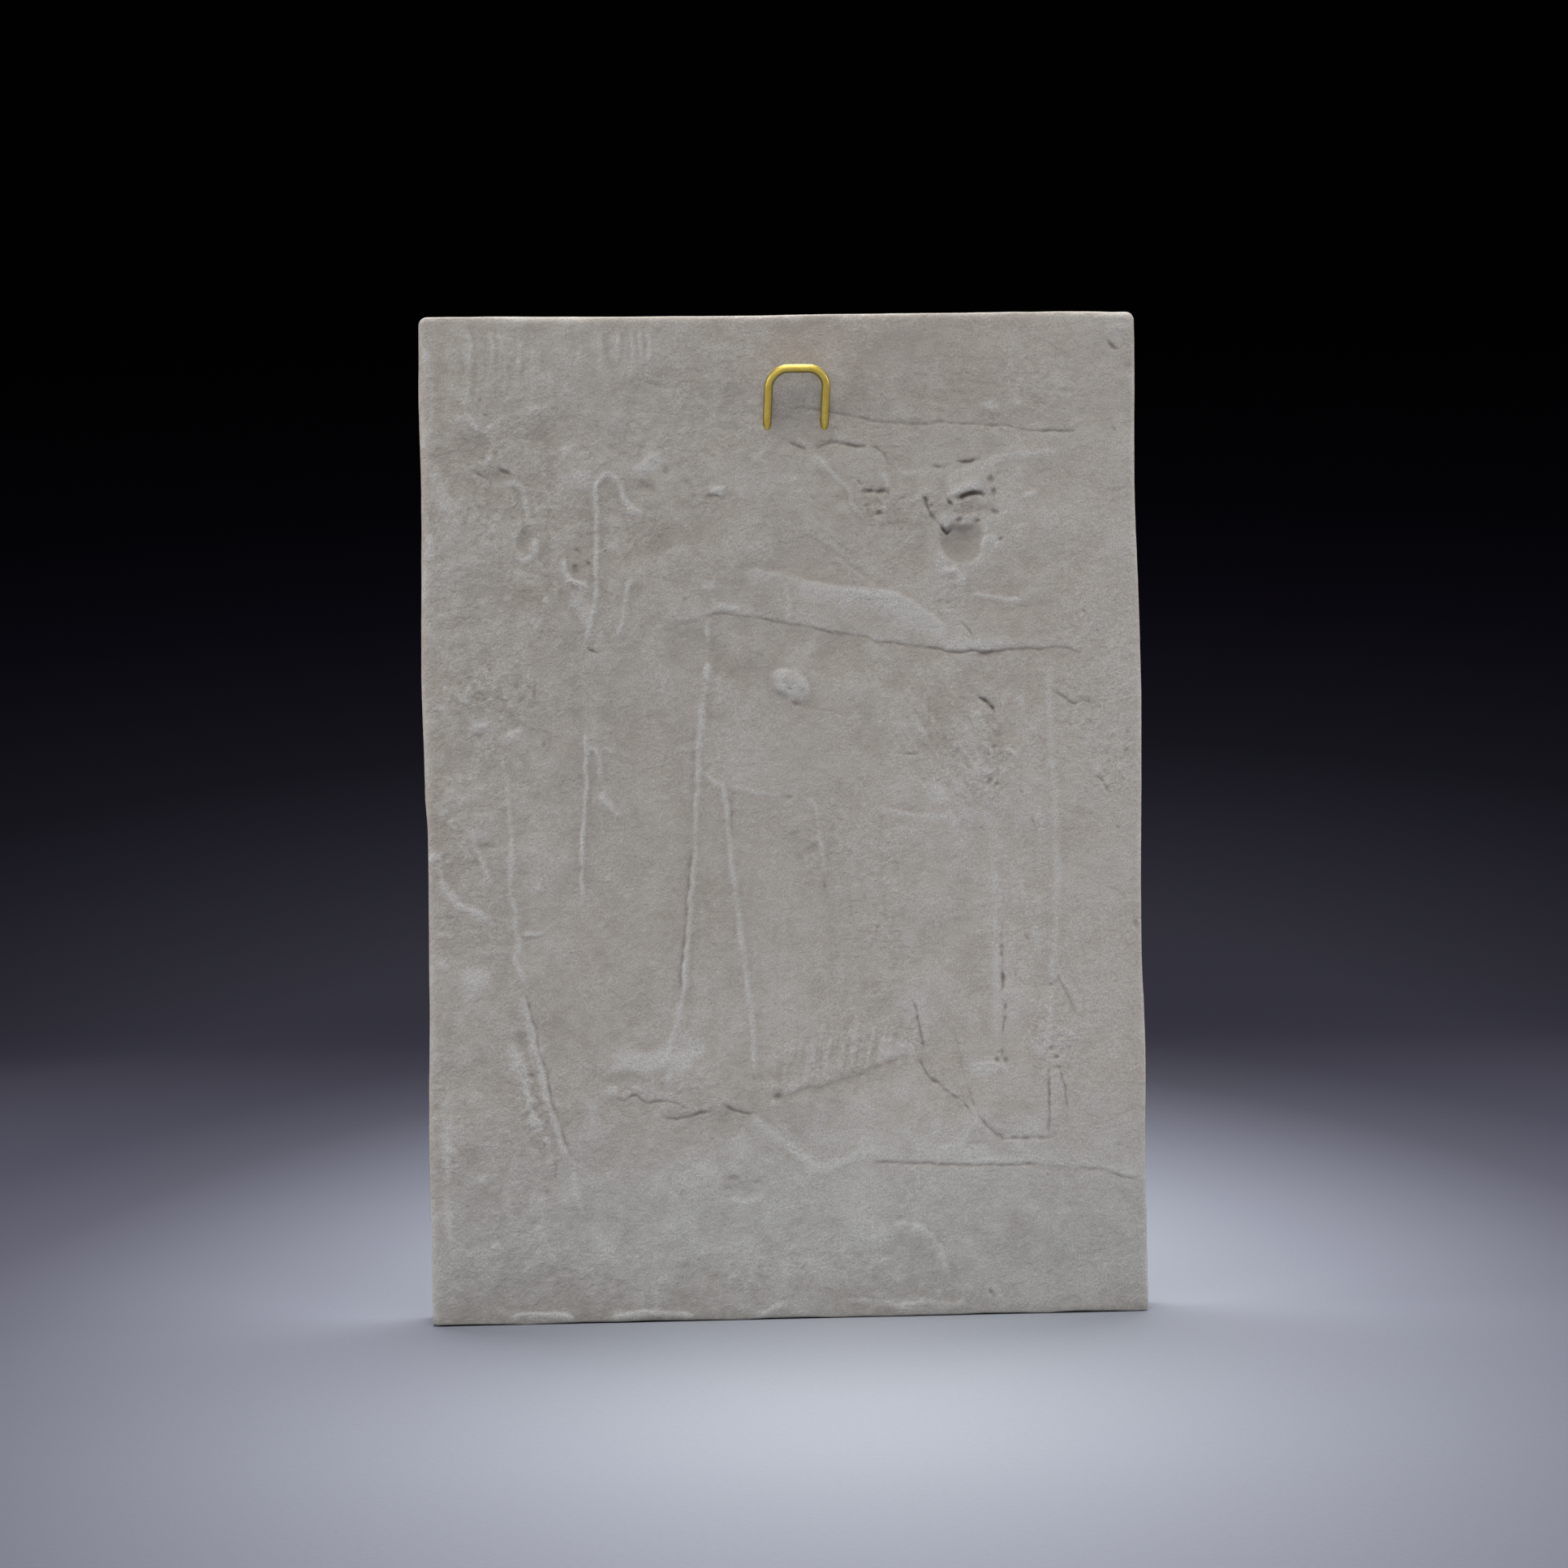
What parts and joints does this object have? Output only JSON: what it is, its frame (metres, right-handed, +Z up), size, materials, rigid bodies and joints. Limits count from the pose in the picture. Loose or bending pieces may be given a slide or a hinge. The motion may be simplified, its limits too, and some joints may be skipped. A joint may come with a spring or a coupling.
{
  "type": "plaster bas-relief plaque",
  "caption": "Upright rectangular plaster plaque: framed leafy relief on one face, rough trowelled back with a cast-in brass wire hanging loop.",
  "frame": {"origin": "middle of the flat lower edge that the plaque stands on", "axes": "+Z up the plaque's height, -Y out of the trowelled back with the loop, +Y out of the relief, +X towards the right of the back"},
  "size_m": [0.2132, 0.0313, 0.2973],
  "materials": {
    "plaster": "matt, rough cast gypsum plaster, warm grey",
    "brass": "drawn wire, half gloss, darkened at its edges"
  },
  "bodies": {
    "root": {"plaster_plaque": "plaster", "hanging_loop": "brass"}
  },
  "joints": []
}
